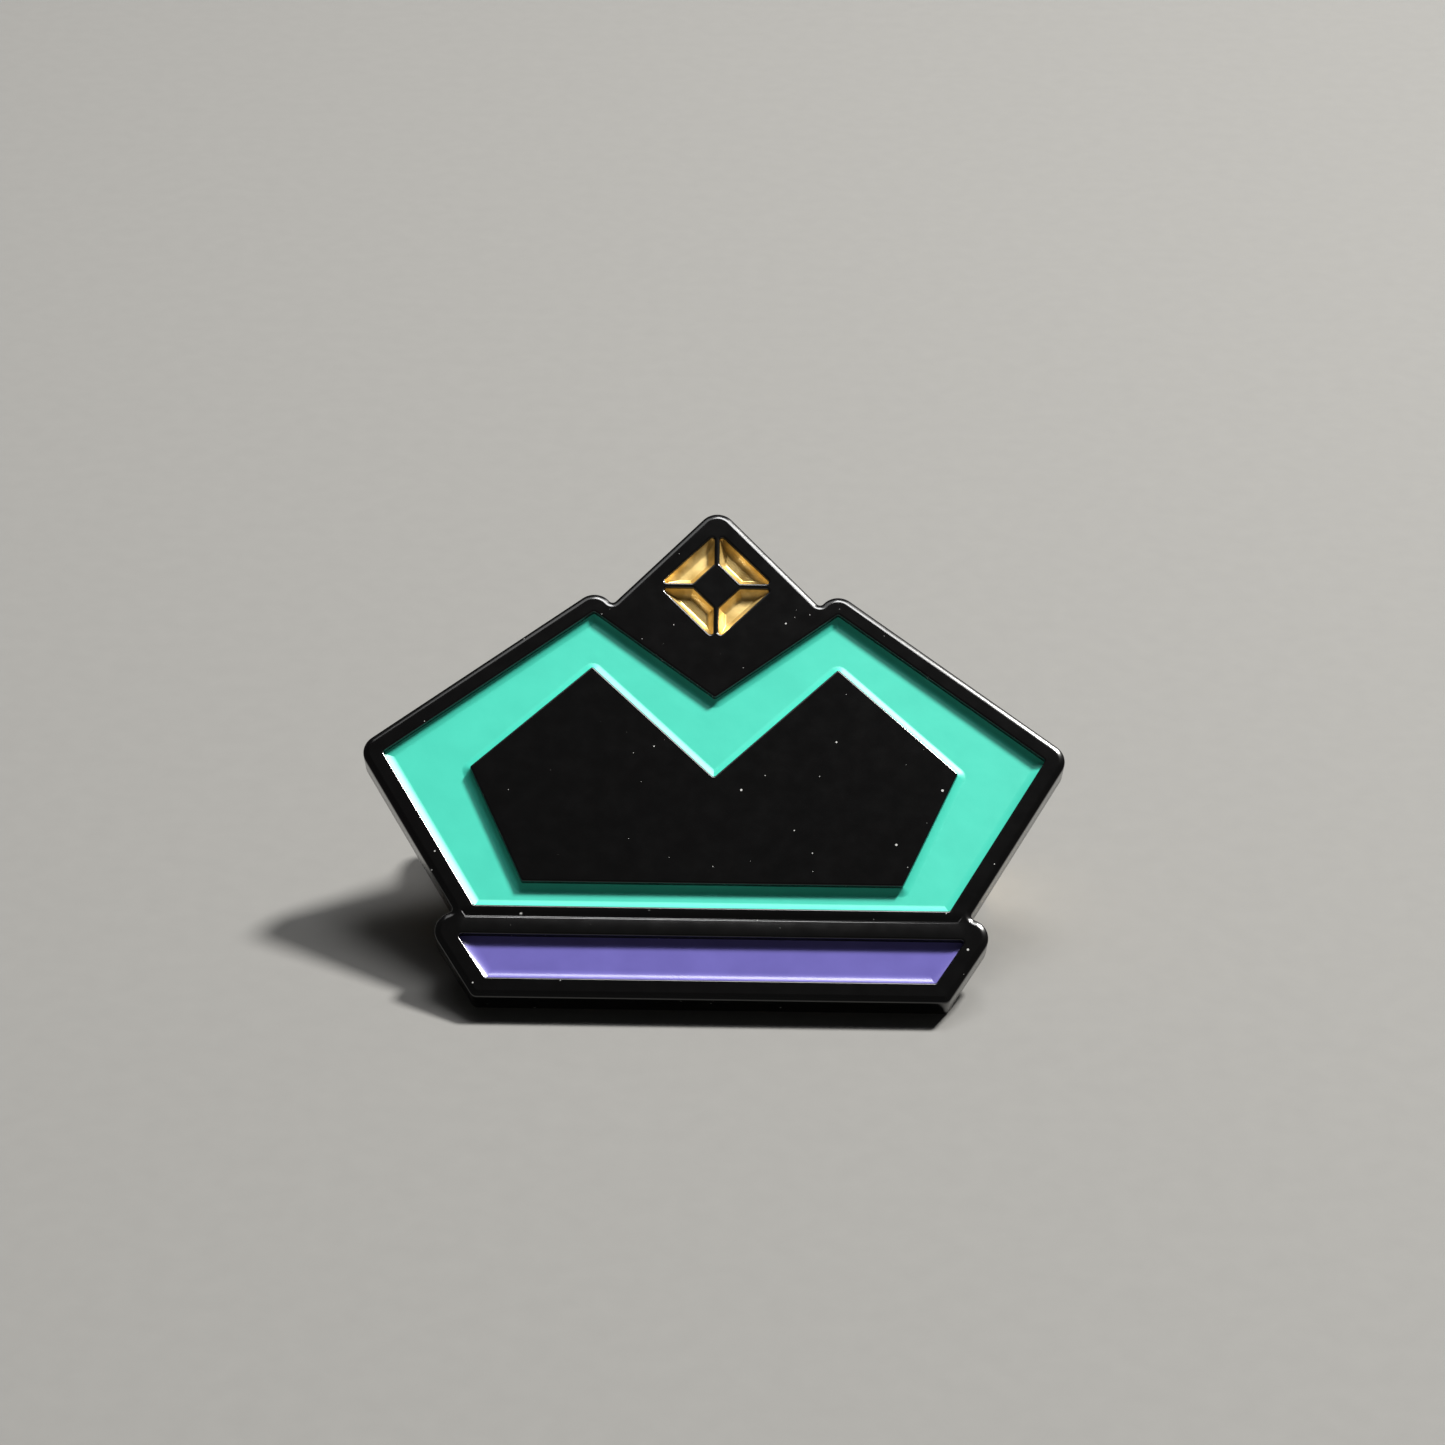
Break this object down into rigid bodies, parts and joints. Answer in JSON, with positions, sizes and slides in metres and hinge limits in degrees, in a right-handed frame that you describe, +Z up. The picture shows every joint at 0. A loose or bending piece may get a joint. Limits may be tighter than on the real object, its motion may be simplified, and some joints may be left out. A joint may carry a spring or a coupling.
{
  "type": "enamel pin",
  "caption": "Crown-shaped soft-enamel lapel pin with teal, purple and gold recessed fills, leaning back on needle posts that carry butterfly clutches.",
  "frame": {"origin": "bottom centre of the whole pin's box as it leans on the ground: the ground is z = 0", "axes": "+X to the wearer-facing viewer's right, along the pin's width; +Y away from the viewer, the way the pin leans; +Z up"},
  "size_m": [0.032, 0.0202, 0.0157],
  "materials": {
    "black_plating": "glossy black nickel plating on struck iron",
    "teal_enamel": "satin soft enamel with a slight orange peel",
    "purple_enamel": "glossy soft enamel",
    "gold_enamel": "metallic gold paint fill",
    "solder": "plated solder fillet, dark",
    "clutch_brass": "bright stamped brass sheet",
    "spring_steel": "drawn steel wire"
  },
  "bodies": {
    "pin": {"pin_body": "black_plating", "teal_enamel": "teal_enamel", "purple_enamel": "purple_enamel", "gold_facet_lower_left": "gold_enamel", "gold_facet_lower_right": "gold_enamel", "gold_facet_upper_left": "gold_enamel", "gold_facet_upper_right": "gold_enamel", "left_post": "black_plating", "left_post_solder": "solder", "right_post": "black_plating", "right_post_solder": "solder"},
    "left_clutch": {"left_clutch_base": "clutch_brass"},
    "left_cap": {"left_clutch_cover": "clutch_brass", "left_grip_spring": "spring_steel"},
    "left_outer_lever": {"left_outer_wing": "clutch_brass"},
    "left_inner_lever": {"left_inner_wing": "clutch_brass"},
    "right_clutch": {"right_clutch_base": "clutch_brass"},
    "right_cap": {"right_clutch_cover": "clutch_brass", "right_grip_spring": "spring_steel"},
    "right_outer_lever": {"right_outer_wing": "clutch_brass"},
    "right_inner_lever": {"right_inner_wing": "clutch_brass"}
  },
  "joints": [
    {"name": "left_clutch_slide", "type": "slide", "parent": "pin", "child": "left_clutch", "axis": [0, 0.6018, -0.7986], "range_m": [0, 0.009]},
    {"name": "left_clutch_spin", "type": "hinge", "parent": "left_clutch", "child": "left_cap", "pos_m": [-0.007, -0.00071, 0.00639], "axis": [0, 0.6018, -0.7986], "continuous": true},
    {"name": "left_outer_squeeze", "type": "hinge", "parent": "left_cap", "child": "left_outer_lever", "pos_m": [-0.0097, 0.00009, 0.00533], "axis": [0, -0.7986, -0.6018], "range_deg": [0, 10], "stiffness_Nm_per_rad": 0.0002, "springref_deg": -5.73},
    {"name": "left_inner_squeeze", "type": "hinge", "parent": "left_cap", "child": "left_inner_lever", "pos_m": [-0.0043, 0.00009, 0.00533], "axis": [0, 0.7986, 0.6018], "range_deg": [0, 10], "stiffness_Nm_per_rad": 0.0002, "springref_deg": -5.73},
    {"name": "right_clutch_slide", "type": "slide", "parent": "pin", "child": "right_clutch", "axis": [0, 0.6018, -0.7986], "range_m": [0, 0.009]},
    {"name": "right_clutch_spin", "type": "hinge", "parent": "right_clutch", "child": "right_cap", "pos_m": [0.007, -0.00071, 0.00639], "axis": [0, 0.6018, -0.7986], "continuous": true},
    {"name": "right_outer_squeeze", "type": "hinge", "parent": "right_cap", "child": "right_outer_lever", "pos_m": [0.0097, 0.00009, 0.00533], "axis": [0, 0.7986, 0.6018], "range_deg": [0, 10], "stiffness_Nm_per_rad": 0.0002, "springref_deg": -5.73},
    {"name": "right_inner_squeeze", "type": "hinge", "parent": "right_cap", "child": "right_inner_lever", "pos_m": [0.0043, 0.00009, 0.00533], "axis": [0, -0.7986, -0.6018], "range_deg": [0, 10], "stiffness_Nm_per_rad": 0.0002, "springref_deg": -5.73}
  ],
  "couplings": [
    {"joint": "left_inner_squeeze", "follows": "left_outer_squeeze", "ratio": 1},
    {"joint": "right_inner_squeeze", "follows": "right_outer_squeeze", "ratio": 1}
  ]
}
